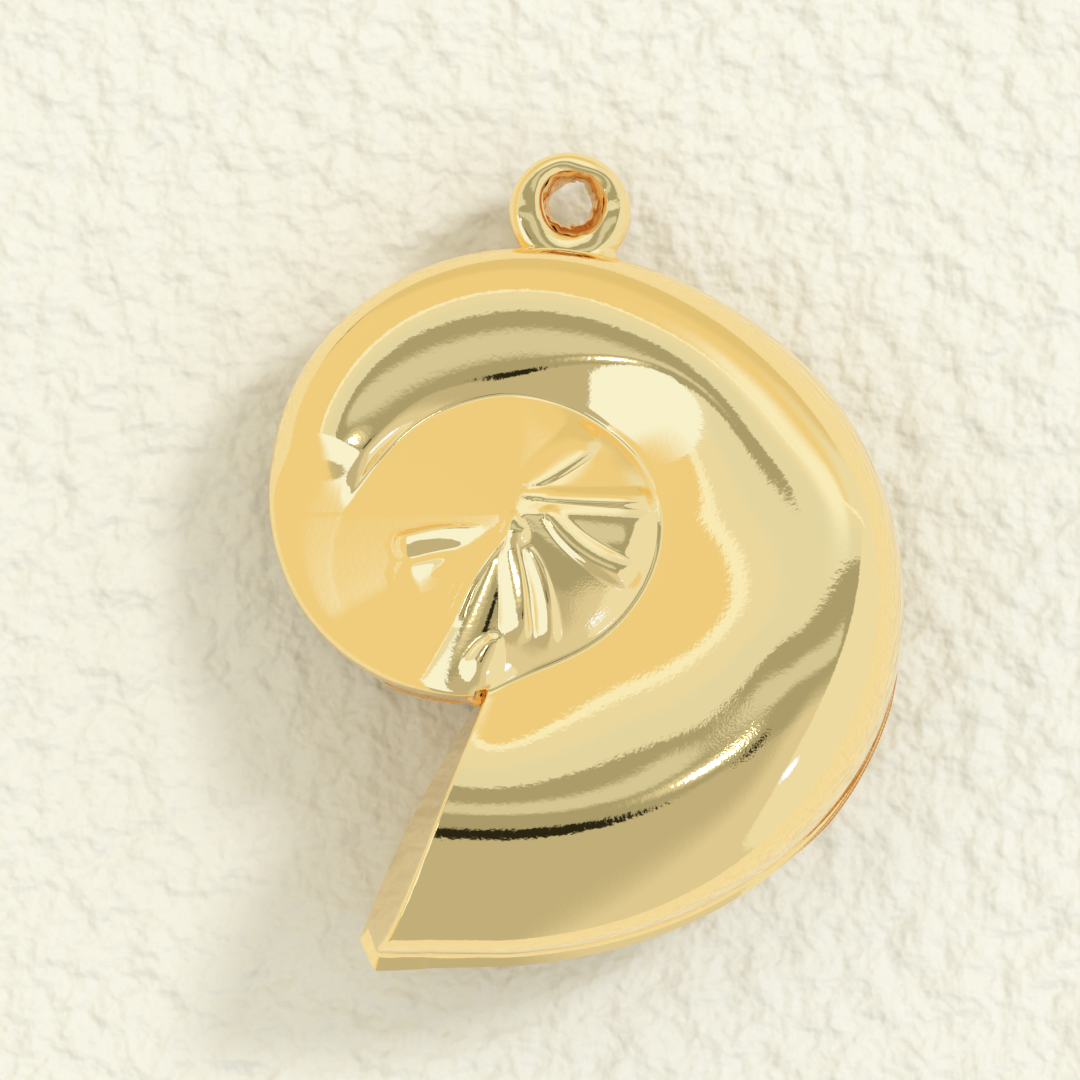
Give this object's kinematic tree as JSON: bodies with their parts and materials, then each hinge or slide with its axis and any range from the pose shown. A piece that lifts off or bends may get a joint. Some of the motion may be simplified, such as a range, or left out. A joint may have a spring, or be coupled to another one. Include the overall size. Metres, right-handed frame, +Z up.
{
  "type": "spiral sea shell charm",
  "caption": "Hollow gold-plated metal charm in the shape of a spiral sea shell, with a small eyelet at the top edge for a jump ring.",
  "frame": {"origin": "middle of the footprint, on the surface that the charm lies on", "axes": "+Z up from the back shell it lies on to the ribbed front, +Y towards the eyelet, +X to the right seen from the front"},
  "size_m": [0.0156, 0.02, 0.0064],
  "materials": {
    "gold_plated_brass": "polished and gold plated, with faint handling marks"
  },
  "bodies": {
    "root": {"front_shell": "gold_plated_brass", "back_shell": "gold_plated_brass"}
  },
  "joints": []
}
